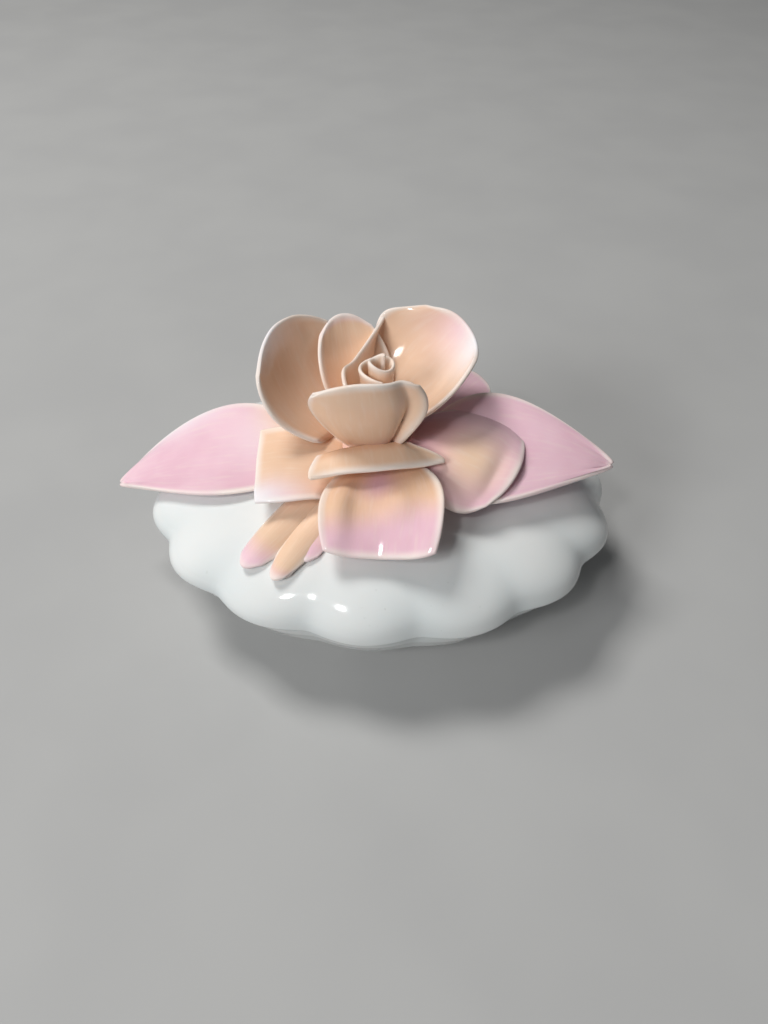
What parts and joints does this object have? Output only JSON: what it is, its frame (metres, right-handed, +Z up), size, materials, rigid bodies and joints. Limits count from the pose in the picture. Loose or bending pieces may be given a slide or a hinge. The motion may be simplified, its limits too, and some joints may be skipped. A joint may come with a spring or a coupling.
{
  "type": "trinket box",
  "caption": "Oval scalloped porcelain trinket box with a domed lift-off lid that carries a hand-built rose, leaves and a bud.",
  "frame": {"origin": "centre of the bounding box on the table plane, under the foot ring", "axes": "+X along the box's long axis, +Y from the front, where the bud lies, to the back, +Z up"},
  "size_m": [0.0989, 0.0718, 0.0539],
  "materials": {
    "porcelain_white": "clear gloss glaze on white porcelain",
    "porcelain_peach": "clear gloss glaze over peach tinted porcelain, paler at the rims",
    "porcelain_pink": "clear gloss glaze over pink tinted porcelain, paler at the rims"
  },
  "bodies": {
    "bowl": {"base_bowl": "porcelain_white"},
    "lid": {"lid_shell": "porcelain_white", "flower_pad": "porcelain_peach", "heart_coil": "porcelain_peach", "heart_wrap": "porcelain_peach", "cup_front": "porcelain_peach", "cup_right": "porcelain_peach", "cup_back": "porcelain_peach", "cup_left": "porcelain_peach", "mid_front": "porcelain_peach", "outer_left": "porcelain_peach", "outer_front": "porcelain_pink", "outer_right": "porcelain_pink", "outer_back": "porcelain_pink", "outer_back_left": "porcelain_pink", "leaf_left": "porcelain_pink", "leaf_right": "porcelain_pink", "bud_core": "porcelain_peach", "bud_petal_left": "porcelain_peach", "bud_petal_right": "porcelain_peach"}
  },
  "joints": [
    {"name": "lid_lift", "type": "slide", "parent": "bowl", "child": "lid", "axis": [0, 0, 1], "range_m": [0, 0.04]}
  ]
}
